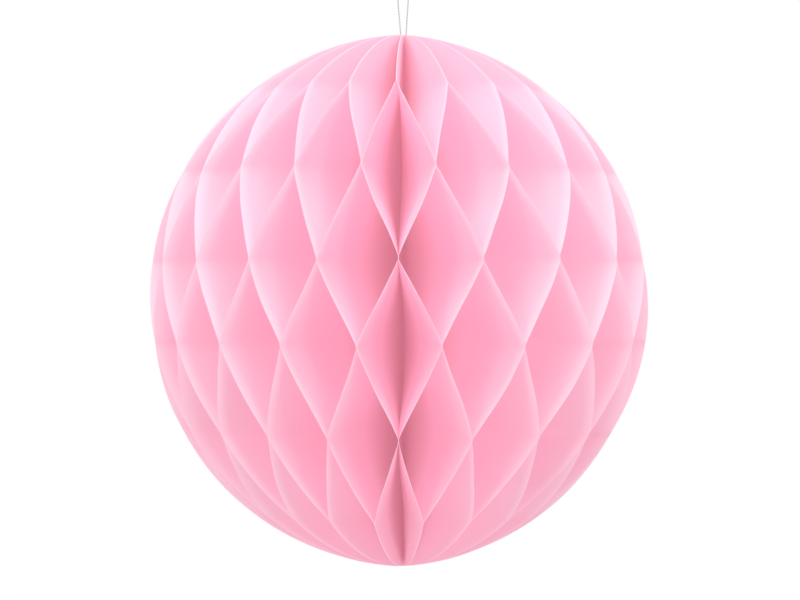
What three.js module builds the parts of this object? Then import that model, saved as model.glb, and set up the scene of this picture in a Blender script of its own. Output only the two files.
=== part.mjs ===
// A honeycomb paper ball on a hanging thread, in millimetres, with +Z up and its front at -Y.
// Thin tissue leaves stand round an upright spine, each glued to its two neighbours along level lines.
// The glue lines of one gap lie between those of the next, so the opened leaves fold into lozenge cells.
// The two end cards of the opened pad meet back to back at the rear seam, with a sticky strip between.
// The origin is the middle of the ball.

import * as THREE from 'three';

// Tissue leaves
const LEAF_COUNT = 40;
const DIE_RADIUS = 100; // round edge cut on every leaf and card
const SPINE_TRIM = 6.7; // how far the straight edge is cut from the middle of that circle
const TISSUE_THICKNESS = 0.2;
const GLUE_THICKNESS = 0.1; // film between two faces that are glued together
const TIP_WIDTH = 1; // blunt ends of a leaf at the poles

// Glue lines
const GLUE_LINE_HEIGHT = 4; // strip where two leaves touch
const GLUE_PITCH = 62.5; // from one line to the next in the same gap
const EVEN_GAP_LINE = 14.6; // height of a line in the gaps with even numbers
const ODD_GAP_LINE = -15.5; // height of a line in the gaps with odd numbers

// The opened ball
const SPREAD_BIAS = 0.095; // radians by which the front gaps are drawn round towards +X
const SPINE_OFFSET = 1.5; // from the middle of the ball to the spine

// End cards and the strip that closes them
const CARD_THICKNESS = 0.4;
const STRIP_THICKNESS = 0.2;
const STRIP_WIDTH = 12;
const STRIP_LENGTH = 80;
const STRIP_INSET = 12; // from the card's round edge

// Hanging thread
const THREAD_DIAMETER = 0.6;
const KNOT_RADIUS = 0.75; // middle of the tied turns
const KNOT_CLEARANCE = 0.3;
// The loop's route, as distances sideways from the spine and up from the ball's crown
const THREAD_ROUTE = [
  [-0.4, -3],
  [-0.6, -1.8],
  [-0.8, -0.6],
  [-1, 1],
  [-1.4, 6],
  [-1.9, 12],
  [-2.4, 20],
  [-2.9, 28],
  [-3.4, 34],
  [-3.7, 38.5],
  [-3.6, 41.5],
  [-2.9, 44.2],
  [-1.6, 46],
  [0.1, 46.6],
  [1.8, 46],
  [3, 44.2],
  [3.6, 41.5],
  [3.6, 38.5],
  [3.3, 34],
  [2.8, 28],
  [2.3, 20],
  [1.8, 12],
  [1.4, 6],
  [1.1, 1],
  [0.8, -0.6],
  [0.6, -1.8],
  [0.4, -3],
];

// Facets
const FOLD_STEPS = 3; // between two glue lines
const CAP_STEPS = 4; // between the last glue line and a pole
const CARD_ARC_STEPS = 16; // in each half of a card's round edge
const THREAD_HALF_SIDES = 4; // in each half of the thread's round section
const THREAD_STEPS = 60;
const KNOT_STEPS = 36;
const KNOT_SIDES = 6;

const tissuePaper = new THREE.MeshStandardMaterial({ color: 0xf7a8c4, roughness: 0.92, metalness: 0 });
const pinkCard = new THREE.MeshStandardMaterial({ color: 0xf2b3c9, roughness: 0.85, metalness: 0 });
const stickyFilm = new THREE.MeshStandardMaterial({ color: 0xf4efe6, roughness: 0.5, metalness: 0 });
const whiteThread = new THREE.MeshStandardMaterial({ color: 0xf3f2f0, roughness: 0.8, metalness: 0 });

const CARD_FACE = STRIP_THICKNESS / 2 + GLUE_THICKNESS + CARD_THICKNESS; // off the seam's plane
const KNOT_REACH = KNOT_RADIUS * 1.5 + THREAD_DIAMETER / 2;
const KNOT_HALF_HEIGHT = KNOT_RADIUS / 2 + THREAD_DIAMETER / 2;

const mix = THREE.MathUtils.lerp;

// Angle of a gap's middle plane: 0 at the front, growing towards +X, with the seam at the rear.
function gapAngle(gap) {
  const even = Math.PI * ((2 * gap) / LEAF_COUNT - 1);
  return even + SPREAD_BIAS * Math.sin(even) ** 2;
}

// A point at a distance from the spine along an upright plane, set off to the side of that plane.
function besidePlane(angle, reach, side, height) {
  const x = reach * Math.sin(angle) + side * Math.cos(angle);
  const y = side * Math.sin(angle) - reach * Math.cos(angle);
  return new THREE.Vector3(x, y, height);
}

// Distance from the spine to the round edge at a height.
function roundEdge(trim, height) {
  return Math.sqrt(DIE_RADIUS ** 2 - height ** 2) - trim;
}

// Height at which the round edge comes within a tip's width of the inner edge.
function tipHeight(trim, inner) {
  return Math.sqrt(DIE_RADIUS ** 2 - (trim + inner + TIP_WIDTH) ** 2);
}

// A leaf's two gap planes, what it keeps clear of on each, and where its straight and round edges lie.
function measureLeaf(number) {
  const low = gapAngle(number - 1);
  const high = gapAngle(number);
  const glued = GLUE_THICKNESS / 2;
  const carded = CARD_FACE + GLUE_THICKNESS;
  const lowClear = number === 1 ? carded : glued;
  const highClear = number === LEAF_COUNT ? carded : glued;
  const stacked = (lowClear + highClear + TISSUE_THICKNESS) / (high - low);
  const inner = Math.max(stacked, KNOT_REACH + KNOT_CLEARANCE);
  const trim = SPINE_TRIM + SPINE_OFFSET * Math.sin((low + high) / 2);
  const evenSide = number % 2 === 0 ? 1 : -1;
  return { low, high, lowClear, highClear, inner, trim, evenSide, tip: tipHeight(trim, inner) };
}

// The glue lines on a leaf from the bottom up: side 1 in its even gap, -1 in its odd gap.
function glueLines(tip) {
  const rows = Math.ceil(DIE_RADIUS / GLUE_PITCH) + 1;
  const lines = [];
  for (let row = -rows; row <= rows; row += 1) {
    lines.push({ height: EVEN_GAP_LINE + row * GLUE_PITCH, side: 1 });
    lines.push({ height: ODD_GAP_LINE + row * GLUE_PITCH, side: -1 });
  }
  const onLeaf = lines.filter((line) => Math.abs(line.height) + GLUE_LINE_HEIGHT / 2 < tip);
  return onLeaf.sort((first, second) => first.height - second.height);
}

// Heights between two places on the round edge, at equal turns about the die's centre.
function capHeights(from, to) {
  const start = Math.asin(from / DIE_RADIUS);
  const end = Math.asin(to / DIE_RADIUS);
  const heights = [];
  for (let step = 0; step <= CAP_STEPS; step += 1) {
    heights.push(DIE_RADIUS * Math.sin(mix(start, end, step / CAP_STEPS)));
  }
  return heights;
}

// Where a leaf stands from tip to tip: flat on a gap at its glue lines and straight between them.
function foldStations(tip) {
  const lines = glueLines(tip);
  const half = GLUE_LINE_HEIGHT / 2;
  const lowest = lines[0];
  const highest = lines[lines.length - 1];
  const lowCap = capHeights(-tip, lowest.height - half);
  const highCap = capHeights(highest.height + half, tip);
  const stations = lowCap.map((height) => ({ height, side: lowest.side }));
  for (let index = 1; index < lines.length; index += 1) {
    const below = lines[index - 1];
    const above = lines[index];
    for (let step = 0; step <= FOLD_STEPS; step += 1) {
      const share = step / FOLD_STEPS;
      const height = mix(below.height + half, above.height - half, share);
      stations.push({ height, side: mix(below.side, above.side, share) });
    }
  }
  return stations.concat(highCap.map((height) => ({ height, side: highest.side })));
}

// A leaf's level section, as four corners anticlockwise from above.
function leafSection(leaf, station) {
  const share = (1 + leaf.evenSide * station.side) / 2;
  const half = TISSUE_THICKNESS / 2;
  const angle = mix(leaf.low, leaf.high, share);
  const middle = mix(leaf.lowClear + half, -leaf.highClear - half, share);
  const outer = roundEdge(leaf.trim, station.height);
  return [
    besidePlane(angle, leaf.inner, middle - half, station.height),
    besidePlane(angle, outer, middle - half, station.height),
    besidePlane(angle, outer, middle + half, station.height),
    besidePlane(angle, leaf.inner, middle + half, station.height),
  ];
}

// A closed sheet through level sections of four corners, from the bottom up.
// Both broad faces are split along the same diagonals, so that the sheet keeps its thickness where it twists.
function loftSheet(sections) {
  const size = sections[0].length;
  const points = sections.flat();
  const last = points.length - size;
  const faces = [];
  for (let start = 0; start < last; start += size) {
    for (let corner = 0; corner < size; corner += 1) {
      const here = start + corner;
      const next = start + ((corner + 1) % size);
      if (corner < size / 2) {
        faces.push(here, next, next + size);
        faces.push(here, next + size, here + size);
      } else {
        faces.push(here, next, here + size);
        faces.push(next, next + size, here + size);
      }
    }
  }
  for (let corner = 1; corner < size - 1; corner += 1) {
    faces.push(0, corner + 1, corner);
    faces.push(last, last + corner, last + corner + 1);
  }
  const geometry = new THREE.BufferGeometry().setFromPoints(points);
  geometry.setIndex(faces);
  geometry.computeVertexNormals();
  return geometry;
}

function namedMesh(name, geometry, material) {
  const mesh = new THREE.Mesh(geometry, material);
  mesh.name = name;
  return mesh;
}

function tissueLeaf(number) {
  const leaf = measureLeaf(number);
  const sections = foldStations(leaf.tip).map((station) => leafSection(leaf, station));
  const name = `tissue_leaf_${String(number).padStart(2, '0')}`;
  return namedMesh(name, loftSheet(sections), tissuePaper);
}

// A card in the seam's plane, with the leaves' outline, from near face to far face along +X.
function endCard(name, nearFace) {
  const firstGap = gapAngle(1) - gapAngle(0);
  const inner = (CARD_FACE + GLUE_THICKNESS) / Math.tan(firstGap);
  const tip = tipHeight(SPINE_TRIM, inner);
  const turn = Math.asin(tip / DIE_RADIUS);
  const outline = new THREE.Shape();
  outline.moveTo(inner, -tip);
  outline.absarc(-SPINE_TRIM, 0, DIE_RADIUS, -turn, turn, false);
  outline.lineTo(inner, tip);
  outline.closePath();
  const options = { depth: CARD_THICKNESS, bevelEnabled: false, curveSegments: CARD_ARC_STEPS };
  const card = namedMesh(name, new THREE.ExtrudeGeometry(outline, options), pinkCard);
  card.rotation.set(Math.PI / 2, 0, Math.PI / 2, 'ZYX');
  card.position.x = nearFace;
  return card;
}

function closingStrip() {
  const geometry = new THREE.BoxGeometry(STRIP_THICKNESS, STRIP_WIDTH, STRIP_LENGTH);
  const strip = namedMesh('closing_strip', geometry, stickyFilm);
  strip.position.y = roundEdge(SPINE_TRIM, 0) - STRIP_INSET - STRIP_WIDTH / 2;
  return strip;
}

// Height of the ball's crown, where the thread comes out between the leaves' tips.
function crownHeight() {
  return measureLeaf(Math.ceil(LEAF_COUNT / 2)).tip;
}

function hangingThread() {
  const crown = crownHeight();
  const route = THREAD_ROUTE.map(([side, rise]) => new THREE.Vector3(side, 0, crown + rise));
  const round = new THREE.Shape();
  round.absarc(0, 0, THREAD_DIAMETER / 2, 0, 2 * Math.PI, false);
  const options = {
    steps: THREAD_STEPS,
    curveSegments: THREAD_HALF_SIDES,
    bevelEnabled: false,
    extrudePath: new THREE.CatmullRomCurve3(route),
  };
  return namedMesh('hanging_thread', new THREE.ExtrudeGeometry(round, options), whiteThread);
}

// An overhand knot under the crown, which holds the thread's two ends inside the spine.
function threadKnot() {
  const radius = THREAD_DIAMETER / 2;
  const turns = new THREE.TorusKnotGeometry(KNOT_RADIUS, radius, KNOT_STEPS, KNOT_SIDES);
  const knot = namedMesh('thread_knot', turns, whiteThread);
  const [, threadEnd] = THREAD_ROUTE[0];
  knot.position.z = crownHeight() + threadEnd - KNOT_CLEARANCE - KNOT_HALF_HEIGHT;
  return knot;
}

const ball = new THREE.Group();
ball.position.x = SPINE_OFFSET;
for (let number = 1; number <= LEAF_COUNT; number += 1) {
  ball.add(tissueLeaf(number));
}
ball.add(endCard('end_card_right', CARD_FACE - CARD_THICKNESS));
ball.add(endCard('end_card_left', -CARD_FACE));
ball.add(closingStrip());
ball.add(hangingThread());
ball.add(threadKnot());

export default ball;
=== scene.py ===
"""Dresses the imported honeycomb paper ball: folded tissue, end cards, a twisted thread and a stage."""

import math
import random

import bpy
from bpy.props import FloatProperty, FloatVectorProperty, IntProperty, PointerProperty
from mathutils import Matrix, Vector


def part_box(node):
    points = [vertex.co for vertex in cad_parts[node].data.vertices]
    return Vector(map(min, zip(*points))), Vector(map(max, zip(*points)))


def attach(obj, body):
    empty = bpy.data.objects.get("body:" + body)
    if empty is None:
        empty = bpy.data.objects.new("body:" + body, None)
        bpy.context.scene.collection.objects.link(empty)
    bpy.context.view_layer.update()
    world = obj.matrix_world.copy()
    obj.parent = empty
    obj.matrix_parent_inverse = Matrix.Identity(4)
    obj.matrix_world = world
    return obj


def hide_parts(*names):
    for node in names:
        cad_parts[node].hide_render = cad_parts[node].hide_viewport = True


bl_info = {
    "name": "Honeycomb Paper Ball",
    "version": (1, 0, 0),
    "blender": (4, 5, 0),
    "location": "View3D > Sidebar > Paper Ball",
    "description": "Builds the folded tissue, cards and thread of a hanging honeycomb paper ball",
    "category": "Add Mesh",
}

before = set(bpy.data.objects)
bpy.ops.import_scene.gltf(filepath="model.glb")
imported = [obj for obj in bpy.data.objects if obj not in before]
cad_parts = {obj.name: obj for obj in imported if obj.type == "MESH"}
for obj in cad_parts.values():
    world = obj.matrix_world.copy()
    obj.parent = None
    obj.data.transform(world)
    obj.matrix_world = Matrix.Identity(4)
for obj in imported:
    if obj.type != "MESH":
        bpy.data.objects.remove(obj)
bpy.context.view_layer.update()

LEAF_PREFIX = "tissue_leaf_"
LEAF_NODES = sorted(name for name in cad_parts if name.startswith(LEAF_PREFIX))
LEAF_COUNT = len(LEAF_NODES)
FRONT_LEAF = LEAF_NODES[LEAF_COUNT // 2 - 1]
STRIP_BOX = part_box("closing_strip")
SPINE_X = (STRIP_BOX[0].x + STRIP_BOX[1].x) / 2
CARD_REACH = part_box("end_card_right")[1].x - SPINE_X
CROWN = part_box(FRONT_LEAF)[1].z
KNOT_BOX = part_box("thread_knot")

# Limits and kinds that like properties share
COLOUR = {"size": 3, "min": 0.0, "max": 1.0, "subtype": "COLOR"}
SHARE = {"min": 0.0, "max": 1.0, "subtype": "FACTOR"}
FINE_LENGTH = {"precision": 5, "unit": "LENGTH"}

# Lengths of the tissue's gentle waves in metres
RIPPLE_LENGTHS = (0.021, 0.034, 0.055)

# Fineness of the meshes
FOLD_STEPS = 16  # rows of faces between two glue lines
CAP_STEPS = 16  # rows of faces between the last glue line and a pole
REACH_STEPS = 18  # columns of faces from the spine to the round edge
PLY_SIDES = 10  # faces round one ply
TURN_STEPS = 14  # rings of faces in one twist of the plies
KNOT_STEPS = 240  # rings of faces along the knot
PLY_CREASE = math.radians(60)  # angle between faces over which an edge of a ply is sharp
FLOOR_CORNERS = 96

# Most times that light is followed from surface to surface, and off or through paper
ALL_BOUNCES = 12
PAPER_BOUNCES = 8

# The thread loop's route in metres: sideways from the spine, and up from the crown
THREAD_ROUTE = [
    (-0.0004, -0.0030),
    (-0.0006, -0.0018),
    (-0.0008, -0.0006),
    (-0.0010, 0.0010),
    (-0.0014, 0.0060),
    (-0.0019, 0.0120),
    (-0.0024, 0.0200),
    (-0.0029, 0.0280),
    (-0.0034, 0.0340),
    (-0.0037, 0.0385),
    (-0.0036, 0.0415),
    (-0.0029, 0.0442),
    (-0.0016, 0.0460),
    (0.0001, 0.0466),
    (0.0018, 0.0460),
    (0.0030, 0.0442),
    (0.0036, 0.0415),
    (0.0036, 0.0385),
    (0.0033, 0.0340),
    (0.0028, 0.0280),
    (0.0023, 0.0200),
    (0.0018, 0.0120),
    (0.0014, 0.0060),
    (0.0011, 0.0010),
    (0.0008, -0.0006),
    (0.0006, -0.0018),
    (0.0004, -0.0030),
]


class TissueSettings(bpy.types.PropertyGroup):
    """Sizes of the tissue leaves and of the folds that the glue lines give them"""

    die_radius: FloatProperty(
        name="Die Radius",
        description="Radius of the round edge cut on every leaf",
        default=0.100,
        unit="LENGTH",
    )
    spine_trim: FloatProperty(
        name="Spine Trim",
        description="How far the straight edge is cut from the middle of the die's circle",
        default=0.0067,
        unit="LENGTH",
    )
    inner_reach: FloatProperty(
        name="Inner Reach",
        description="Least distance from the spine's middle to a leaf's straight edge",
        default=0.0007,
        unit="LENGTH",
    )
    tip_width: FloatProperty(
        name="Tip Width",
        description="Width of a leaf's blunt ends at the poles",
        default=0.001,
        unit="LENGTH",
    )
    thickness: FloatProperty(
        name="Thickness",
        description="Thickness of the tissue",
        default=0.00008,
        **FINE_LENGTH,
    )
    glue_film: FloatProperty(
        name="Glue Film",
        description="Thickness of the glue between two leaves",
        default=0.00002,
        **FINE_LENGTH,
    )
    glue_height: FloatProperty(
        name="Glue Height",
        description="Height of the strip where two leaves touch",
        default=0.0014,
        unit="LENGTH",
    )
    glue_pitch: FloatProperty(
        name="Glue Pitch",
        description="Height from one glue line to the next in the same gap",
        default=0.0625,
        unit="LENGTH",
    )
    even_line: FloatProperty(
        name="Even Gap Line",
        description="Height of a glue line in the gaps with even numbers",
        default=0.0146,
        unit="LENGTH",
    )
    odd_line: FloatProperty(
        name="Odd Gap Line",
        description="Height of a glue line in the gaps with odd numbers",
        default=-0.0155,
        unit="LENGTH",
    )
    pole_stretch: FloatProperty(
        name="Pole Stretch",
        description="How much the tissue stretches the glue lines' heights at the poles",
        default=0.033,
        subtype="FACTOR",
    )
    spread_bias: FloatProperty(
        name="Spread Bias",
        description="Most that a gap is drawn round towards the right, at the sides of the ball",
        default=0.095,
        subtype="ANGLE",
    )
    rim_softness: FloatProperty(
        name="Rim Softness",
        description="From taut straight folds at 0 to slack round ones at 1, at the round edge",
        default=0.12,
        **SHARE,
    )
    inner_softness: FloatProperty(
        name="Inner Softness",
        description="From taut straight folds at 0 to slack round ones at 1, at the spine",
        default=0.9,
        **SHARE,
    )
    rim_pull: FloatProperty(
        name="Rim Pull",
        description="How closely the taut folds keep to the round edge",
        default=4.0,
    )
    fold_skew: FloatProperty(
        name="Fold Skew",
        description="Most that a fold bows to one side of its straight line",
        default=0.10,
        subtype="FACTOR",
    )
    ripple: FloatProperty(
        name="Ripple",
        description="Depth of the tissue's waves, as a share of half a cell's width",
        default=0.05,
        max=0.4,
        subtype="FACTOR",
    )
    sway: FloatProperty(
        name="Sway",
        description="How far the inner folds in front of the spine hang over to the left",
        default=0.0017,
        unit="LENGTH",
    )
    sway_start: FloatProperty(
        name="Sway Start",
        description="Distance in front of the spine where the sway begins",
        default=0.002,
        unit="LENGTH",
    )
    sway_full: FloatProperty(
        name="Sway Full",
        description="Distance in front of the spine where the sway is whole",
        default=0.012,
        unit="LENGTH",
    )
    sway_swing: FloatProperty(
        name="Sway Swing",
        description="How much the sway grows and shrinks from one cell of the front column to the next",
        default=0.6,
        **SHARE,
    )
    crown_lean: FloatProperty(
        name="Crown Lean",
        description="How far the front folds are turned to the left at the crown",
        default=math.radians(1.75),
        subtype="ANGLE",
    )
    lean_start: FloatProperty(
        name="Lean Start",
        description="Height where the front folds begin to turn to the left",
        default=0.045,
        unit="LENGTH",
    )
    lean_focus: IntProperty(
        name="Lean Focus",
        description="How closely the lean keeps to the front of the ball",
        default=8,
    )
    gap_stray: FloatProperty(
        name="Gap Stray",
        description="Most that a gap strays from its even angle",
        default=math.radians(0.35),
        subtype="ANGLE",
    )
    line_stray: FloatProperty(
        name="Line Stray",
        description="Most that a glue line strays from its height",
        default=0.0006,
        unit="LENGTH",
    )
    seed: IntProperty(
        name="Seed",
        description="Start of the small differences between leaves",
        default=7,
    )


class ThreadSettings(bpy.types.PropertyGroup):
    """Sizes of the twisted hanging thread and its knot"""

    diameter: FloatProperty(
        name="Diameter",
        description="Diameter of the thread over both plies",
        default=0.0006,
        **FINE_LENGTH,
    )
    lay_length: FloatProperty(
        name="Lay Length",
        description="Length of thread in which the plies twist once round",
        default=0.0021,
        **FINE_LENGTH,
    )
    knot_radius: FloatProperty(
        name="Knot Radius",
        description="Radius of the middle of the knot's turns",
        default=0.00075,
        **FINE_LENGTH,
    )


class FinishSettings(bpy.types.PropertyGroup):
    """Colours of the papers, the strip, the thread and the floor, and the shade and light painted on the
    tissue
    """

    tissue_colour: FloatVectorProperty(
        name="Tissue",
        description="Colour of light that the tissue throws back",
        default=(0.92, 0.548, 0.69),
        **COLOUR,
    )
    tissue_cloud: FloatVectorProperty(
        name="Tissue Cloud",
        description="Colour where the tissue's fibres lie thicker",
        default=(0.92, 0.528, 0.67),
        **COLOUR,
    )
    tissue_glow: FloatVectorProperty(
        name="Tissue Glow",
        description="Colour of light that comes through the tissue",
        default=(0.92, 0.54, 0.685),
        **COLOUR,
    )
    # Painted shade: the tissue's colour is blended darker towards the spine, where the crowded folds
    # shade each other
    painted_spine_shade: FloatVectorProperty(
        name="Tissue Depth",
        description="Colour of the tissue at the spine, where the folds crowd together",
        default=(0.77, 0.265, 0.385),
        **COLOUR,
    )
    spine_shade_share: FloatProperty(
        name="Depth Share",
        description="Share of a leaf's width from the spine over which the deeper colour fades",
        default=0.5,
        **SHARE,
    )
    # Painted light: the tissue's colour is blended paler along the round edge, where light reaches it
    # from both sides
    painted_rim_light: FloatVectorProperty(
        name="Tissue Rim",
        description="Colour of the tissue at the round edge, which the light reaches from both sides",
        default=(0.95, 0.66, 0.77),
        **COLOUR,
    )
    rim_light_share: FloatProperty(
        name="Rim Share",
        description="Share of a leaf's width from the round edge over which the paler colour fades",
        default=0.06,
        **SHARE,
    )
    tissue_sheerness: FloatProperty(
        name="Tissue Sheerness",
        description="Share of light that goes into the tissue instead of off it",
        default=0.45,
        **SHARE,
    )
    card_colour: FloatVectorProperty(
        name="Card",
        description="Colour of the end cards",
        default=(0.80, 0.34, 0.48),
        **COLOUR,
    )
    card_fleck: FloatVectorProperty(
        name="Card Fleck",
        description="Colour of the fibres in the end cards",
        default=(0.86, 0.46, 0.58),
        **COLOUR,
    )
    strip_colour: FloatVectorProperty(
        name="Strip",
        description="Colour of the sticky strip",
        default=(0.94, 0.86, 0.85),
        **COLOUR,
    )
    strip_bubble: FloatVectorProperty(
        name="Strip Bubble",
        description="Colour of the strip where air is caught under it",
        default=(0.97, 0.92, 0.91),
        **COLOUR,
    )
    thread_colour: FloatVectorProperty(
        name="Thread",
        description="Colour of the thread",
        default=(0.45, 0.45, 0.45),
        **COLOUR,
    )
    thread_shade: FloatVectorProperty(
        name="Thread Shade",
        description="Colour between the thread's filaments",
        default=(0.30, 0.30, 0.31),
        **COLOUR,
    )
    floor_colour: FloatVectorProperty(
        name="Floor",
        description="Colour of the floor",
        default=(0.57, 0.57, 0.58),
        **COLOUR,
    )
    floor_mottle: FloatVectorProperty(
        name="Floor Mottle",
        description="Colour of the floor's faint paler patches",
        default=(0.5814, 0.5814, 0.5916),
        **COLOUR,
    )


class StageSettings(bpy.types.PropertyGroup):
    """Camera, floor and light round the ball"""

    camera_distance: FloatProperty(
        name="Camera Distance",
        description="Distance from the spine to the camera",
        default=0.940,
        unit="LENGTH",
    )
    camera_turn: FloatProperty(
        name="Camera Turn",
        description="How far the camera is turned round the spine towards the right",
        default=math.radians(1.1),
        subtype="ANGLE",
    )
    camera_height: FloatProperty(
        name="Camera Height",
        description="Height of the camera over the middle of the ball",
        default=0.0017,
        unit="LENGTH",
    )
    aim_side: FloatProperty(
        name="Aim Side",
        description="How far right of the ball's middle the camera is aimed",
        default=0.00026,
        **FINE_LENGTH,
    )
    aim_height: FloatProperty(
        name="Aim Height",
        description="How far over the ball's middle the camera is aimed",
        default=0.0002,
        **FINE_LENGTH,
    )
    camera_lens: FloatProperty(
        name="Camera Lens",
        description="Focal length of the camera in millimetres",
        default=112.5,
        subtype="DISTANCE_CAMERA",
    )
    floor_drop: FloatProperty(
        name="Floor Drop",
        description="Depth of the floor under the middle of the ball",
        default=0.48,
        unit="LENGTH",
    )
    floor_radius: FloatProperty(
        name="Floor Radius",
        description="Radius of the floor",
        default=1.3,
        unit="LENGTH",
    )
    fade_start: FloatProperty(
        name="Fade Start",
        description="Distance from the floor's middle where it begins to fade out",
        default=0.3,
        unit="LENGTH",
    )
    room_light: FloatProperty(
        name="Room Light",
        description="Strength of the white light from all round",
        default=0.28,
    )
    light_distance: FloatProperty(
        name="Light Distance",
        description="Distance from the ball's middle to each light that casts shadows",
        default=1.7,
        unit="LENGTH",
    )
    soft_size: FloatProperty(
        name="Soft Size",
        description="Width of the large soft lights",
        default=1.2,
        unit="LENGTH",
    )
    crisp_size: FloatProperty(
        name="Crisp Size",
        description="Width of the smaller lights that pick out the round edges",
        default=0.45,
        unit="LENGTH",
    )
    key_colour: FloatVectorProperty(
        name="Key Colour",
        description="Colour of the lights high up, a little warm",
        default=(1.0, 1.0, 0.92),
        **COLOUR,
    )
    fill_colour: FloatVectorProperty(
        name="Fill Colour",
        description="Colour of the other lights, a little cool",
        default=(0.94, 0.97, 1.0),
        **COLOUR,
    )
    high_power: FloatProperty(
        name="High Power",
        description="Power of each soft light high on the left and right",
        default=8.0,
        unit="POWER",
    )
    low_power: FloatProperty(
        name="Low Power",
        description="Power of each smaller light low on the left and right",
        default=4.0,
        unit="POWER",
    )
    top_power: FloatProperty(
        name="Top Power",
        description="Power of the soft light over the ball",
        default=24.0,
        unit="POWER",
    )
    rear_power: FloatProperty(
        name="Rear Power",
        description="Power of each soft light behind the ball",
        default=13.0,
        unit="POWER",
    )
    fill_distance: FloatProperty(
        name="Fill Distance",
        description="Distance from the ball's middle to each shadowless light",
        default=1.0,
        unit="LENGTH",
    )
    side_fill: FloatProperty(
        name="Side Fill",
        description="Power of each shadowless light at the sides, which reaches into the folds",
        default=2.1,
        unit="POWER",
    )
    end_fill: FloatProperty(
        name="End Fill",
        description="Power of each shadowless light in front and behind, which reaches into the folds",
        default=1.6,
        unit="POWER",
    )
    high_turn: FloatProperty(
        name="High Turn",
        description="How far the high lights are turned from the front",
        default=math.radians(24),
        subtype="ANGLE",
    )
    low_turn: FloatProperty(
        name="Low Turn",
        description="How far the low lights are turned from the front",
        default=math.radians(30),
        subtype="ANGLE",
    )
    rear_turn: FloatProperty(
        name="Rear Turn",
        description="How far the rear lights are turned from the front",
        default=math.radians(130),
        subtype="ANGLE",
    )
    high_rise: FloatProperty(
        name="High Rise",
        description="How far the high, rear and shadowless lights stand over level",
        default=math.radians(45),
        subtype="ANGLE",
    )
    low_rise: FloatProperty(
        name="Low Rise",
        description="How far the low lights stand over level",
        default=math.radians(15),
        subtype="ANGLE",
    )
    top_rise: FloatProperty(
        name="Top Rise",
        description="How far the light over the ball stands over level",
        default=math.radians(85),
        subtype="ANGLE",
    )
    tone_lift: FloatProperty(
        name="Tone Lift",
        description="How far the picture's middle tones are raised",
        default=1.6,
    )


class BallSettings(bpy.types.PropertyGroup):
    """All settings of the paper ball"""

    tissue: PointerProperty(
        name="Tissue",
        description="Sizes of the tissue leaves and their folds",
        type=TissueSettings,
    )
    thread: PointerProperty(
        name="Thread",
        description="Sizes of the hanging thread and its knot",
        type=ThreadSettings,
    )
    finish: PointerProperty(
        name="Finish",
        description="Colours of the papers, the strip, the thread and the floor",
        type=FinishSettings,
    )
    stage: PointerProperty(
        name="Stage",
        description="Camera, floor and light",
        type=StageSettings,
    )


def settings(context):
    """The ball's settings on the scene."""
    return context.scene.paper_ball


def mix(start, end, share):
    """The value a share of the way from start to end."""
    return start + (end - start) * share


def share_of(start, end, value):
    """How far a value lies from start to end, as a share from 0 to 1."""
    return min(max((value - start) / (end - start), 0.0), 1.0)


def ease(share):
    """A share that starts and ends gently."""
    return share * share * (3 - 2 * share)


# Folds of the tissue


def stray(seed, limit, *place):
    """A small seeded difference within a limit, the same each time for one place."""
    return random.Random(repr((seed,) + place)).uniform(-limit, limit)


def gap_angle(gap, tissue):
    """Angle of a gap's middle plane: 0 at the front, growing to the right, with the seam at the rear."""
    even = math.pi * (2 * gap / LEAF_COUNT - 1)
    angle = even + tissue.spread_bias * math.sin(even) ** 2
    if gap in (0, LEAF_COUNT):
        return angle
    return angle + stray(tissue.seed, tissue.gap_stray, "gap", gap)


def round_edge(tissue, trim, height):
    """Distance from the spine to the round edge at a height."""
    return math.sqrt(tissue.die_radius**2 - height**2) - trim


class Leaf:
    """Where one leaf lies: its two gap planes, its clearances and its straight and round edges."""

    def __init__(self, number, tissue):
        glued = tissue.glue_film / 2 + tissue.thickness / 2
        carded = CARD_REACH + glued
        self.number = number
        self.tissue = tissue
        self.low = gap_angle(number - 1, tissue)
        self.high = gap_angle(number, tissue)
        self.low_offset = carded if number == 1 else glued
        self.high_offset = carded if number == LEAF_COUNT else glued
        spread = self.high - self.low
        self.inner = max((self.low_offset + self.high_offset) / spread, tissue.inner_reach)
        self.trim = tissue.spine_trim + SPINE_X * math.sin((self.low + self.high) / 2)
        self.even_side = 1 if number % 2 == 0 else -1
        blunt = self.trim + self.inner + tissue.tip_width
        self.tip = math.sqrt(tissue.die_radius**2 - blunt**2)

    def gap_at(self, side):
        """Number of the gap on the leaf's even side, 1, or its odd side, -1."""
        return self.number if self.even_side == side else self.number - 1

    def point(self, reach, side, height):
        """A point on the leaf's middle surface, from side 1 in its even gap to -1 in its odd gap."""
        share = (1 + self.even_side * side) / 2
        angle = mix(self.low, self.high, share)
        angle -= lean_at(angle, height, self.tissue)
        offset = mix(self.low_offset, -self.high_offset, share)
        x = SPINE_X + reach * math.sin(angle) + offset * math.cos(angle)
        y = offset * math.sin(angle) - reach * math.cos(angle)
        return x - sway_at(reach, y, height, self.tissue), y, height


def lean_at(angle, height, tissue):
    """How far the front folds are turned to the left near the crown."""
    rise = share_of(tissue.lean_start, tissue.die_radius, height)
    return tissue.crown_lean * ease(rise) * max(math.cos(angle), 0.0) ** tissue.lean_focus


def sway_at(reach, depth, height, tissue):
    """How far the inner folds hang over at a place, more in every other cell of the front column."""
    front = share_of(tissue.sway_start, tissue.sway_full, -depth)
    inward = 1 - reach / tissue.die_radius
    level = 1 - (height / tissue.die_radius) ** 4
    cell = (height - tissue.even_line) / tissue.glue_pitch - 0.5
    return tissue.sway * front * inward * level * (1 + tissue.sway_swing * math.cos(math.pi * cell))


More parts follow.
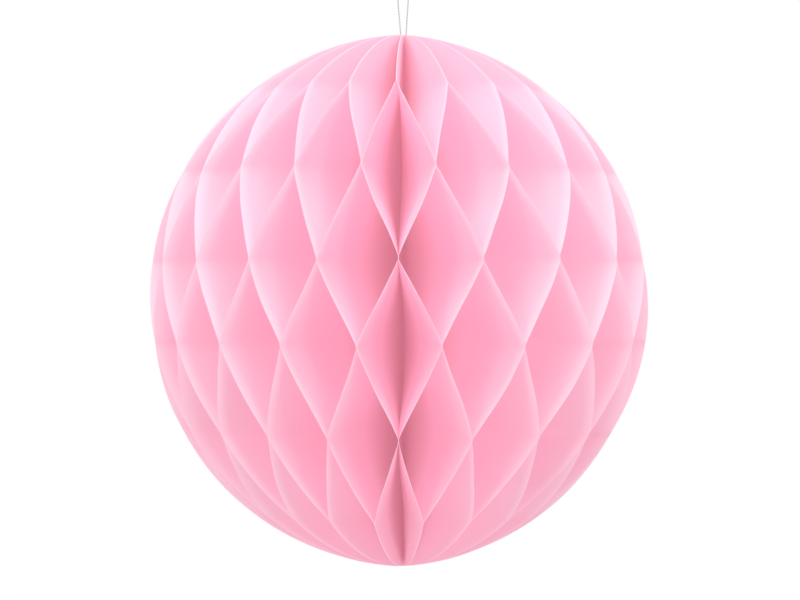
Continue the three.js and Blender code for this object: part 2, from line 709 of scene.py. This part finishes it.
def glue_lines(leaf, tissue):
    """Height and side of each glue line on a leaf, from the bottom up."""
    rows = math.ceil(tissue.die_radius / tissue.glue_pitch) + 1
    lines = []
    for row in range(-rows, rows + 1):
        for side, first in ((1, tissue.even_line), (-1, tissue.odd_line)):
            height = first + row * tissue.glue_pitch
            height *= 1 + tissue.pole_stretch * (height / tissue.die_radius) ** 2
            if abs(height) + tissue.glue_height / 2 < leaf.tip:
                height += stray(tissue.seed, tissue.line_stray, "line", leaf.gap_at(side), row)
                lines.append((height, side))
    return sorted(lines)


def cap_rows(start, end, side, tissue):
    """Rows between two heights at equal turns round the die's circle, flat on one gap."""
    first = math.asin(start / tissue.die_radius)
    last = math.asin(end / tissue.die_radius)
    turns = [mix(first, last, step / CAP_STEPS) for step in range(CAP_STEPS + 1)]
    return [(tissue.die_radius * math.sin(turn), side, side) for turn in turns]


def fold_rows(leaf, below, above, bow, tissue):
    """Rows between two glue lines: height, and the side where taut and where slack."""
    start = below[0] + tissue.glue_height / 2
    end = above[0] - tissue.glue_height / 2
    first = round_edge(tissue, leaf.trim, start)
    last = round_edge(tissue, leaf.trim, end)
    rows = []
    for step in range(FOLD_STEPS + 1):
        share = step / FOLD_STEPS
        height = mix(start, end, share)
        across = mix(-first, last, share + bow * share * (1 - share))
        done = (1 + across / round_edge(tissue, leaf.trim, height)) / 2
        rows.append((height, mix(below[1], above[1], done), mix(below[1], above[1], ease(done))))
    return rows


def leaf_rows(leaf, tissue):
    """Height, taut side and slack side of every row of a leaf from tip to tip."""
    lines = glue_lines(leaf, tissue)
    half = tissue.glue_height / 2
    rows = cap_rows(-leaf.tip, lines[0][0] - half, lines[0][1], tissue)
    for index in range(1, len(lines)):
        bow = stray(tissue.seed, tissue.fold_skew, "bow", leaf.number, index)
        rows += fold_rows(leaf, lines[index - 1], lines[index], bow, tissue)
    return rows + cap_rows(lines[-1][0] + half, leaf.tip, lines[-1][1], tissue)


def ripple_at(leaf, reach, height, tissue):
    """Height of the tissue's gentle waves at a place on a leaf, from -1 to 1."""
    total = 0.0
    for wave, length in enumerate(RIPPLE_LENGTHS):
        place = ("wave", leaf.number, wave)
        heading = stray(tissue.seed, math.pi, *place)
        phase = stray(tissue.seed + 1, math.pi, *place)
        along = reach * math.cos(heading) + height * math.sin(heading)
        total += math.sin(2 * math.pi * along / length + phase)
    return total / len(RIPPLE_LENGTHS)


def grid_faces(rows, columns):
    """Quads of a grid of points, row by row."""
    faces = []
    for row in range(rows - 1):
        for column in range(columns - 1):
            corner = row * columns + column
            faces.append((corner, corner + 1, corner + columns + 1, corner + columns))
    return faces


def leaf_mesh(leaf, tissue):
    """A leaf's middle surface as a mesh, with its cut edges marked sharp."""
    rows = leaf_rows(leaf, tissue)
    points = []
    for height, taut, slack in rows:
        outer = round_edge(tissue, leaf.trim, height)
        for step in range(REACH_STEPS + 1):
            share = step / REACH_STEPS
            reach = mix(leaf.inner, outer, share)
            softness = mix(tissue.inner_softness, tissue.rim_softness, share**tissue.rim_pull)
            side = mix(taut, slack, softness)
            wave = tissue.ripple * ripple_at(leaf, reach, height, tissue)
            points.append(leaf.point(reach, side + wave * (1 - side * side), height))
    mesh = bpy.data.meshes.new(LEAF_NODES[leaf.number - 1] + "_folded")
    mesh.from_pydata(points, [], grid_faces(len(rows), REACH_STEPS + 1))
    mark_cut_edges(mesh)
    mesh.shade_smooth()
    return mesh


def mark_cut_edges(mesh):
    """Marks the open edges of a sheet sharp, so that its faces shade flat up to the cut."""
    uses = {}
    for polygon in mesh.polygons:
        for key in polygon.edge_keys:
            uses[key] = uses.get(key, 0) + 1
    for edge in mesh.edges:
        edge.use_edge_sharp = uses[edge.key] == 1


# Twisted thread


def smooth_route(points, count):
    """Points at even shares of a curve that passes smoothly through the given points."""
    curve = []
    last = len(points) - 1
    for step in range(count + 1):
        place = step / count * last
        index = min(int(place), last - 1)
        share = place - index
        before = points[max(index - 1, 0)]
        start = points[index]
        end = points[index + 1]
        after = points[min(index + 2, last)]
        curve.append(spline_point(before, start, end, after, share))
    return curve


def spline_point(before, start, end, after, share):
    """A point between start and end on a curve with their neighbours' slopes."""
    pull = (end - before) / 2
    push = (after - start) / 2
    rise = 3 * (end - start) - 2 * pull - push
    bend = 2 * (start - end) + pull + push
    return start + pull * share + rise * share**2 + bend * share**3


def route_length(points):
    """Length of a run of points."""
    return sum((end - start).length for start, end in zip(points, points[1:]))


def carried_sides(points):
    """A direction across the route at each point, carried along it without twist."""
    heading = (points[1] - points[0]).normalized()
    side = heading.orthogonal().normalized()
    sides = []
    for index in range(len(points)):
        ahead = points[min(index + 1, len(points) - 1)]
        behind = points[max(index - 1, 0)]
        turned = (ahead - behind).normalized()
        side = (heading.rotation_difference(turned) @ side).normalized()
        heading = turned
        sides.append((side, heading.cross(side)))
    return sides


def ply_mesh(name, points, thread):
    """Two plies twisted round a route, each a closed tube."""
    ply_radius = thread.diameter / 4
    sides = carried_sides(points)
    rings = len(points)
    verts = []
    faces = []
    for ply in range(2):
        base = len(verts)
        travelled = 0.0
        for index, point in enumerate(points):
            if index:
                travelled += (point - points[index - 1]).length
            twist = 2 * math.pi * travelled / thread.lay_length + ply * math.pi
            across, up = sides[index]
            middle = point + ply_radius * (math.cos(twist) * across + math.sin(twist) * up)
            for step in range(PLY_SIDES):
                turn = 2 * math.pi * step / PLY_SIDES
                verts.append(middle + ply_radius * (math.cos(turn) * across + math.sin(turn) * up))
        faces += tube_faces(base, rings, PLY_SIDES)
    mesh = bpy.data.meshes.new(name)
    mesh.from_pydata(verts, [], faces)
    mesh.shade_smooth()
    mesh.set_sharp_from_angle(angle=PLY_CREASE)
    return mesh


def tube_faces(base, rings, around):
    """Faces of a closed tube of rings, with both ends capped."""
    faces = []
    for ring in range(rings - 1):
        start = base + ring * around
        above = start + around
        for step in range(around):
            following = (step + 1) % around
            faces.append((start + step, start + following, above + following, above + step))
    faces.append(tuple(base + step for step in reversed(range(around))))
    last = base + (rings - 1) * around
    faces.append(tuple(last + step for step in range(around)))
    return faces


def ring_count(points, thread):
    """Rings needed along a route so that each twist has its steps."""
    return math.ceil(route_length(points) / thread.lay_length * TURN_STEPS)


# Materials


def new_node(tree, kind, x, y, **values):
    """A node of a kind at a place, with values for its named inputs."""
    node = tree.nodes.new(kind)
    node.location = (x, y)
    for name, value in values.items():
        node.inputs[name.replace("_", " ")].default_value = value
    return node


def fibre_group():
    """Paper fibres: soft clouds where they lie thicker, and a fine height for their surface."""
    made = bpy.data.node_groups.get("paper_fibres")
    if made:
        return made
    group = bpy.data.node_groups.new("paper_fibres", "ShaderNodeTree")
    for name, default in (("Cloud Scale", 200.0), ("Fibre Scale", 2500.0)):
        socket = group.interface.new_socket(name, in_out="INPUT", socket_type="NodeSocketFloat")
        socket.default_value = default
    for name in ("Clouds", "Fibre Height"):
        group.interface.new_socket(name, in_out="OUTPUT", socket_type="NodeSocketFloat")
    entry = new_node(group, "NodeGroupInput", -700, 0)
    place = new_node(group, "ShaderNodeTexCoord", -700, -250)
    clouds = new_node(group, "ShaderNodeTexNoise", -450, 150, Detail=3.0, Roughness=0.6)
    stretch = new_node(group, "ShaderNodeMapping", -450, -250, Scale=(1.0, 1.0, 0.25))
    fibres = new_node(group, "ShaderNodeTexNoise", -200, -200, Detail=2.0, Roughness=0.55)
    leave = new_node(group, "NodeGroupOutput", 100, 0)
    links = group.links
    links.new(place.outputs["Object"], clouds.inputs["Vector"])
    links.new(entry.outputs["Cloud Scale"], clouds.inputs["Scale"])
    links.new(place.outputs["Object"], stretch.inputs["Vector"])
    links.new(stretch.outputs["Vector"], fibres.inputs["Vector"])
    links.new(entry.outputs["Fibre Scale"], fibres.inputs["Scale"])
    links.new(clouds.outputs["Fac"], leave.inputs["Clouds"])
    links.new(fibres.outputs["Fac"], leave.inputs["Fibre Height"])
    return group


def new_material(name):
    """An empty node material with its output."""
    material = bpy.data.materials.new(name)
    material.use_nodes = True
    tree = material.node_tree
    tree.nodes.clear()
    return material, tree, new_node(tree, "ShaderNodeOutputMaterial", 700, 0)


def fill_input(tree, socket, value):
    """Links a socket to an input, or sets a plain value on it."""
    if isinstance(value, bpy.types.NodeSocket):
        tree.links.new(value, socket)
    else:
        socket.default_value = value


def colour_blend(tree, mask, first, second, x, y):
    """A blend of two colours by a mask."""
    blend = new_node(tree, "ShaderNodeMix", x, y)
    blend.data_type = "RGBA"
    fill_input(tree, blend.inputs[6], first)
    fill_input(tree, blend.inputs[7], second)
    tree.links.new(mask, blend.inputs["Factor"])
    return blend.outputs[2]


def calculate(tree, operation, x, y, first, second=0.0):
    """The result of a calculation on one or two values."""
    node = new_node(tree, "ShaderNodeMath", x, y)
    node.operation = operation
    fill_input(tree, node.inputs[0], first)
    fill_input(tree, node.inputs[1], second)
    return node.outputs["Value"]


def opaque(colour):
    """A colour with full cover, as a colour socket holds it."""
    return (*colour, 1.0)


def fibre_surface(tree, base, deeper, cloud_scale, fibre_scale, bump, **values):
    """A paper surface on the Principled shader with a fine fibre bump, and a clouded colour for it."""
    fibres = new_node(tree, "ShaderNodeGroup", -600, 0)
    fibres.node_tree = fibre_group()
    fibres.inputs["Cloud Scale"].default_value = cloud_scale
    fibres.inputs["Fibre Scale"].default_value = fibre_scale
    surface = new_node(tree, "ShaderNodeBsdfPrincipled", 100, 0, **values)
    colour = colour_blend(tree, fibres.outputs["Clouds"], opaque(base), opaque(deeper), -400, 150)
    relief = new_node(tree, "ShaderNodeBump", -250, -200, Strength=bump, Distance=0.0001)
    tree.links.new(fibres.outputs["Fibre Height"], relief.inputs["Height"])
    tree.links.new(relief.outputs["Normal"], surface.inputs["Normal"])
    return surface, colour


def leaf_reach(tree, tissue):
    """How far across a leaf a place lies, from 0 at the spine to 1 at the round edge."""
    place = new_node(tree, "ShaderNodeTexCoord", -1900, 500)
    parts = new_node(tree, "ShaderNodeSeparateXYZ", -1700, 500)
    tree.links.new(place.outputs["Object"], parts.inputs["Vector"])
    across = calculate(tree, "MULTIPLY", -1500, 700, parts.outputs["X"], parts.outputs["X"])
    along = calculate(tree, "MULTIPLY", -1500, 500, parts.outputs["Y"], parts.outputs["Y"])
    up = calculate(tree, "MULTIPLY", -1500, 300, parts.outputs["Z"], parts.outputs["Z"])
    away = calculate(tree, "SQRT", -1100, 600, calculate(tree, "ADD", -1300, 600, across, along))
    edge_square = calculate(tree, "SUBTRACT", -1300, 300, tissue.die_radius**2, up)
    edge = calculate(tree, "SQRT", -1100, 300, edge_square)
    width = calculate(tree, "SUBTRACT", -900, 300, edge, tissue.spine_trim)
    return calculate(tree, "DIVIDE", -700, 450, away, width)


def reach_colour(tree, spine, rim, middle, finish, x, y):
    """A colour across a leaf: darker towards the spine as painted shade, as given in the middle and paler
    at the round edge as painted light.
    """
    spine_shaded = colour_blend(tree, spine, middle, opaque(finish.painted_spine_shade), x, y)
    return colour_blend(tree, rim, spine_shaded, opaque(finish.painted_rim_light), x + 180, y)


def tissue_paper(finish, tissue):
    """Thin tissue that throws back some light and lets some through, darker at the spine as painted shade
    and paler at the round edge as painted light.
    """
    material, tree, output = new_material("tissue_paper")
    surface, clouded = fibre_surface(
        tree,
        finish.tissue_colour,
        finish.tissue_cloud,
        cloud_scale=160.0,
        fibre_scale=1800.0,
        bump=0.12,
        Roughness=0.92,
        Specular_IOR_Level=0.2,
    )
    reach = leaf_reach(tree, tissue)
    spine_shade_end = finish.spine_shade_share
    rim_light_start = 1.0 - finish.rim_light_share
    # Mask of the painted shade, whole at the spine and gone partway across the leaf
    spine = new_node(tree, "ShaderNodeMapRange", -450, 650, From_Max=spine_shade_end, To_Min=1.0, To_Max=0.0)
    # Mask of the painted light, whole at the round edge and gone a little way in
    rim = new_node(tree, "ShaderNodeMapRange", -450, 350, From_Min=rim_light_start)
    tree.links.new(reach, spine.inputs["Value"])
    tree.links.new(reach, rim.inputs["Value"])
    masks = spine.outputs["Result"], rim.outputs["Result"]
    # The colour thrown back and the colour let through both carry the painted shade and the painted light
    back = reach_colour(tree, *masks, clouded, finish, -220, 300)
    through = reach_colour(tree, *masks, opaque(finish.tissue_glow), finish, -220, -450)
    glow = new_node(tree, "ShaderNodeBsdfTranslucent", 150, -350)
    blend = new_node(tree, "ShaderNodeMixShader", 450, 0)
    blend.inputs[0].default_value = finish.tissue_sheerness
    tree.links.new(back, surface.inputs["Base Color"])
    tree.links.new(through, glow.inputs["Color"])
    tree.links.new(surface.outputs[0], blend.inputs[1])
    tree.links.new(glow.outputs[0], blend.inputs[2])
    tree.links.new(blend.outputs[0], output.inputs["Surface"])
    return material


def end_card(finish):
    """Stiff dyed card with paler fibres."""
    material, tree, output = new_material("end_card")
    surface, flecked = fibre_surface(
        tree,
        finish.card_colour,
        finish.card_fleck,
        cloud_scale=420.0,
        fibre_scale=900.0,
        bump=0.3,
        Roughness=0.85,
        Specular_IOR_Level=0.3,
    )
    tree.links.new(flecked, surface.inputs["Base Color"])
    tree.links.new(surface.outputs[0], output.inputs["Surface"])
    return material


def mottled_surface(tree, texture, mask, first, second, bump, depth, **values):
    """A Principled surface on which one texture blends two colours and raises a fine relief."""
    place = new_node(tree, "ShaderNodeTexCoord", -850, 0)
    surface = new_node(tree, "ShaderNodeBsdfPrincipled", 100, 0, **values)
    colour = colour_blend(tree, mask, opaque(first), opaque(second), -250, 100)
    relief = new_node(tree, "ShaderNodeBump", -250, -200, Strength=bump, Distance=depth)
    tree.links.new(place.outputs["Object"], texture.inputs["Vector"])
    tree.links.new(mask, relief.inputs["Height"])
    tree.links.new(colour, surface.inputs["Base Color"])
    tree.links.new(relief.outputs["Normal"], surface.inputs["Normal"])
    return surface


def sticky_film(finish):
    """A waxy double-sided film with caught air."""
    material, tree, output = new_material("sticky_film")
    air = new_node(tree, "ShaderNodeTexVoronoi", -600, 0, Scale=700.0)
    mask = air.outputs["Distance"]
    colours = finish.strip_bubble, finish.strip_colour
    surface = mottled_surface(tree, air, mask, *colours, bump=0.2, depth=0.0001, Roughness=0.45)
    tree.links.new(surface.outputs[0], output.inputs["Surface"])
    return material


def spun_thread(finish):
    """Pale spun thread, shaded between its fine filaments."""
    made = bpy.data.materials.get("spun_thread")
    if made:
        return made
    material, tree, output = new_material("spun_thread")
    strands = new_node(tree, "ShaderNodeTexNoise", -600, 0, Scale=9000.0, Detail=2.0)
    mask = strands.outputs["Fac"]
    colours = finish.thread_shade, finish.thread_colour
    surface = mottled_surface(tree, strands, mask, *colours, bump=0.4, depth=0.00005, Roughness=0.7)
    tree.links.new(surface.outputs[0], output.inputs["Surface"])
    return material


def plain_floor(finish, stage):
    """A matt pale floor, faintly uneven, which fades out into the white room and is clear from below."""
    material, tree, output = new_material("plain_floor")
    place = new_node(tree, "ShaderNodeTexCoord", -650, 0)
    uneven = new_node(tree, "ShaderNodeTexNoise", -450, 0, Scale=3.0)
    away = new_node(tree, "ShaderNodeVectorMath", -450, 350)
    away.operation = "LENGTH"
    start = stage.fade_start
    end = stage.floor_radius
    fade = new_node(tree, "ShaderNodeMapRange", -200, 350, From_Min=start, From_Max=end)
    side = new_node(tree, "ShaderNodeNewGeometry", -200, 650)
    surface = new_node(tree, "ShaderNodeBsdfPrincipled", 100, 0, Roughness=0.9)
    nothing = new_node(tree, "ShaderNodeBsdfTransparent", 100, -350)
    blend = new_node(tree, "ShaderNodeMixShader", 450, 0)
    paler = opaque(finish.floor_mottle)
    colour = colour_blend(tree, uneven.outputs["Fac"], opaque(finish.floor_colour), paler, -200, 100)
    gone = calculate(tree, "MAXIMUM", 100, 400, fade.outputs["Result"], side.outputs["Backfacing"])
    tree.links.new(place.outputs["Object"], uneven.inputs["Vector"])
    tree.links.new(place.outputs["Object"], away.inputs[0])
    tree.links.new(away.outputs["Value"], fade.inputs["Value"])
    tree.links.new(colour, surface.inputs["Base Color"])
    tree.links.new(gone, blend.inputs[0])
    tree.links.new(surface.outputs[0], blend.inputs[1])
    tree.links.new(nothing.outputs[0], blend.inputs[2])
    tree.links.new(blend.outputs[0], output.inputs["Surface"])
    return material


# Placing pieces


def new_piece(context, name, mesh, material):
    """An object of the mesh in the scene, with its material."""
    mesh.materials.append(material)
    piece = bpy.data.objects.new(name, mesh)
    context.scene.collection.objects.link(piece)
    return piece


def repaint(node, material):
    """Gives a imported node's own object a finish."""
    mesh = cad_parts[node].data
    mesh.materials.clear()
    mesh.materials.append(material)


# Operators


class PAPERBALL_OT_stage(bpy.types.Operator):
    """Sets up the camera, the pale floor and the soft studio light"""

    bl_idname = "paper_ball.stage"
    bl_label = "Stage"

    def execute(self, context):
        ball = settings(context)
        self.place_camera(context, ball.stage)
        self.lay_floor(context, ball)
        self.light_room(context, ball.stage)
        context.scene.view_settings.view_transform = "Standard"
        context.scene.view_settings.gamma = ball.stage.tone_lift
        context.scene.cycles.max_bounces = ALL_BOUNCES
        context.scene.cycles.diffuse_bounces = PAPER_BOUNCES
        context.scene.cycles.transmission_bounces = PAPER_BOUNCES
        return {"FINISHED"}

    def place_camera(self, context, stage):
        """Camera at the photograph's angle."""
        data = bpy.data.cameras.new("camera")
        data.lens = stage.camera_lens
        camera = bpy.data.objects.new("camera", data)
        camera.location = (
            SPINE_X + stage.camera_distance * math.sin(stage.camera_turn),
            -stage.camera_distance * math.cos(stage.camera_turn),
            stage.camera_height,
        )
        aim = Vector((stage.aim_side, 0, stage.aim_height)) - camera.location
        camera.rotation_euler = aim.to_track_quat("-Z", "Y").to_euler()
        context.scene.collection.objects.link(camera)
        context.scene.camera = camera

    def lay_floor(self, context, ball):
        """A wide pale disc well under the hanging ball."""
        stage = ball.stage
        radius = stage.floor_radius
        corners = range(FLOOR_CORNERS)
        turns = [2 * math.pi * corner / FLOOR_CORNERS for corner in corners]
        rim = [(radius * math.cos(turn), radius * math.sin(turn), 0) for turn in turns]
        mesh = bpy.data.meshes.new("floor")
        mesh.from_pydata(rim, [], [tuple(corners)])
        floor = new_piece(context, "floor", mesh, plain_floor(ball.finish, stage))
        floor.location.z = -stage.floor_drop

    def light_room(self, context, stage):
        """A white room, lights in pairs round the ball, one over it, and fills that cast no shadows."""
        world = bpy.data.worlds.new("white_room")
        world.use_nodes = True
        tree = world.node_tree
        tree.nodes.clear()
        white = opaque((1.0, 1.0, 1.0))
        seen = new_node(tree, "ShaderNodeBackground", -200, 150, Color=white, Strength=1.0)
        lit = new_node(tree, "ShaderNodeBackground", -200, -50, Color=white, Strength=stage.room_light)
        path = new_node(tree, "ShaderNodeLightPath", -200, 500)
        choice = new_node(tree, "ShaderNodeMixShader", 50, 100)
        output = new_node(tree, "ShaderNodeOutputWorld", 250, 100)
        tree.links.new(path.outputs["Is Camera Ray"], choice.inputs[0])
        tree.links.new(lit.outputs[0], choice.inputs[1])
        tree.links.new(seen.outputs[0], choice.inputs[2])
        tree.links.new(choice.outputs[0], output.inputs["Surface"])
        context.scene.world = world
        warm = stage.key_colour
        cool = stage.fill_colour
        soft = stage.soft_size
        crisp = stage.crisp_size
        far = stage.light_distance
        near = stage.fill_distance
        for name, turn, rise, size, power, colour in (
            ("high_left", -stage.high_turn, stage.high_rise, soft, stage.high_power, warm),
            ("high_right", stage.high_turn, stage.high_rise, soft, stage.high_power, warm),
            ("low_left", -stage.low_turn, stage.low_rise, crisp, stage.low_power, cool),
            ("low_right", stage.low_turn, stage.low_rise, crisp, stage.low_power, cool),
            ("top", 0, stage.top_rise, soft, stage.top_power, warm),
            ("rear_left", -stage.rear_turn, stage.high_rise, soft, stage.rear_power, cool),
            ("rear_right", stage.rear_turn, stage.high_rise, soft, stage.rear_power, cool),
        ):
            self.hang_light(context, name, turn, rise, far, size, power, colour)
        for name, turn, power in (
            ("left_fill", -math.pi / 2, stage.side_fill),
            ("right_fill", math.pi / 2, stage.side_fill),
            ("front_fill", 0, stage.end_fill),
            ("rear_fill", math.pi, stage.end_fill),
        ):
            fill = self.hang_light(context, name, turn, stage.high_rise, near, crisp, power, cool)
            fill.use_shadow = False

    def hang_light(self, context, name, turn, rise, distance, size, power, colour):
        """A round light aimed at the ball, turned round from the front and up from level."""
        data = bpy.data.lights.new(name, "AREA")
        data.shape = "DISK"
        data.size = size
        data.energy = power
        data.color = colour
        light = bpy.data.objects.new(name, data)
        level = distance * math.cos(rise)
        light.location = (level * math.sin(turn), -level * math.cos(turn), distance * math.sin(rise))
        light.rotation_euler = (-light.location).to_track_quat("-Z", "Y").to_euler()
        context.scene.collection.objects.link(light)
        return data


class PAPERBALL_OT_thread_knot(bpy.types.Operator):
    """Ties the overhand knot that holds the thread's ends inside the spine"""

    bl_idname = "paper_ball.thread_knot"
    bl_label = "Thread Knot"

    def execute(self, context):
        ball = settings(context)
        middle = (KNOT_BOX[0] + KNOT_BOX[1]) / 2
        middle.x = SPINE_X
        middle.y = 0
        mesh = ply_mesh("knot", self.knot_route(middle, ball.thread), ball.thread)
        knot = new_piece(context, "tied_knot", mesh, spun_thread(ball.finish))
        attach(knot, "root")
        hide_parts("thread_knot")
        return {"FINISHED"}

    def knot_route(self, middle, thread):
        """An overhand knot's route: twice round its middle, rising and falling three times."""
        points = []
        for step in range(KNOT_STEPS):
            turn = 4 * math.pi * step / KNOT_STEPS
            rise = 1.5 * turn
            swing = thread.knot_radius * (2 + math.cos(rise)) / 2
            lift = thread.knot_radius * math.sin(rise) / 2
            points.append(middle + Vector((swing * math.cos(turn), swing * math.sin(turn), lift)))
        return points


class PAPERBALL_OT_hanging_thread(bpy.types.Operator):
    """Twists the hanging loop along its route"""

    bl_idname = "paper_ball.hanging_thread"
    bl_label = "Hanging Thread"

    def execute(self, context):
        ball = settings(context)
        route = [Vector((SPINE_X + side, 0, CROWN + rise)) for side, rise in THREAD_ROUTE]
        points = smooth_route(route, ring_count(route, ball.thread))
        mesh = ply_mesh("thread", points, ball.thread)
        thread = new_piece(context, "twisted_thread", mesh, spun_thread(ball.finish))
        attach(thread, "root")
        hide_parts("hanging_thread")
        return {"FINISHED"}


class PAPERBALL_OT_tissue_leaves(bpy.types.Operator):
    """Folds the tissue leaves round the spine"""

    bl_idname = "paper_ball.tissue_leaves"
    bl_label = "Tissue Leaves"

    def execute(self, context):
        ball = settings(context)
        material = tissue_paper(ball.finish, ball.tissue)
        for number, node in enumerate(LEAF_NODES, start=1):
            mesh = leaf_mesh(Leaf(number, ball.tissue), ball.tissue)
            piece = new_piece(context, mesh.name, mesh, material)
            sheet = piece.modifiers.new("tissue thickness", "SOLIDIFY")
            sheet.thickness = ball.tissue.thickness
            sheet.offset = 0
            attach(piece, "root")
            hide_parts(node)
        return {"FINISHED"}


class PAPERBALL_OT_end_cards(bpy.types.Operator):
    """Finishes the two stiff end cards"""

    bl_idname = "paper_ball.end_cards"
    bl_label = "End Cards"

    def execute(self, context):
        material = end_card(settings(context).finish)
        for node in ("end_card_left", "end_card_right"):
            repaint(node, material)
        return {"FINISHED"}


class PAPERBALL_OT_closing_strip(bpy.types.Operator):
    """Finishes the sticky strip between the cards"""

    bl_idname = "paper_ball.closing_strip"
    bl_label = "Closing Strip"

    def execute(self, context):
        repaint("closing_strip", sticky_film(settings(context).finish))
        return {"FINISHED"}


class PAPERBALL_PT_sidebar(bpy.types.Panel):
    """Lists the ball's operators and settings in the sidebar"""

    bl_idname = "PAPERBALL_PT_sidebar"
    bl_label = "Paper Ball"
    bl_space_type = "VIEW_3D"
    bl_region_type = "UI"
    bl_category = "Paper Ball"

    def draw(self, context):
        ball = settings(context)
        for operator in OPERATORS:
            self.layout.operator(operator.bl_idname)
        for group in (ball.tissue, ball.thread, ball.finish, ball.stage):
            box = self.layout.box()
            for name in group.__annotations__:
                box.prop(group, name)


GROUPS = (TissueSettings, ThreadSettings, FinishSettings, StageSettings, BallSettings)
OPERATORS = (
    PAPERBALL_OT_stage,
    PAPERBALL_OT_thread_knot,
    PAPERBALL_OT_hanging_thread,
    PAPERBALL_OT_tissue_leaves,
    PAPERBALL_OT_end_cards,
    PAPERBALL_OT_closing_strip,
)
CLASSES = GROUPS + OPERATORS + (PAPERBALL_PT_sidebar,)


def register():
    """Registers the classes and puts the settings on the scene."""
    for cls in CLASSES:
        bpy.utils.register_class(cls)
    bpy.types.Scene.paper_ball = PointerProperty(type=BallSettings)


def unregister():
    """Takes the settings and the classes away again."""
    del bpy.types.Scene.paper_ball
    for cls in reversed(CLASSES):
        bpy.utils.unregister_class(cls)


def main():
    """Builds the whole ball."""
    register()
    bpy.ops.paper_ball.stage()
    bpy.ops.paper_ball.thread_knot()
    bpy.ops.paper_ball.hanging_thread()
    bpy.ops.paper_ball.tissue_leaves()
    bpy.ops.paper_ball.end_cards()
    bpy.ops.paper_ball.closing_strip()


if __name__ == "__main__":
    main()
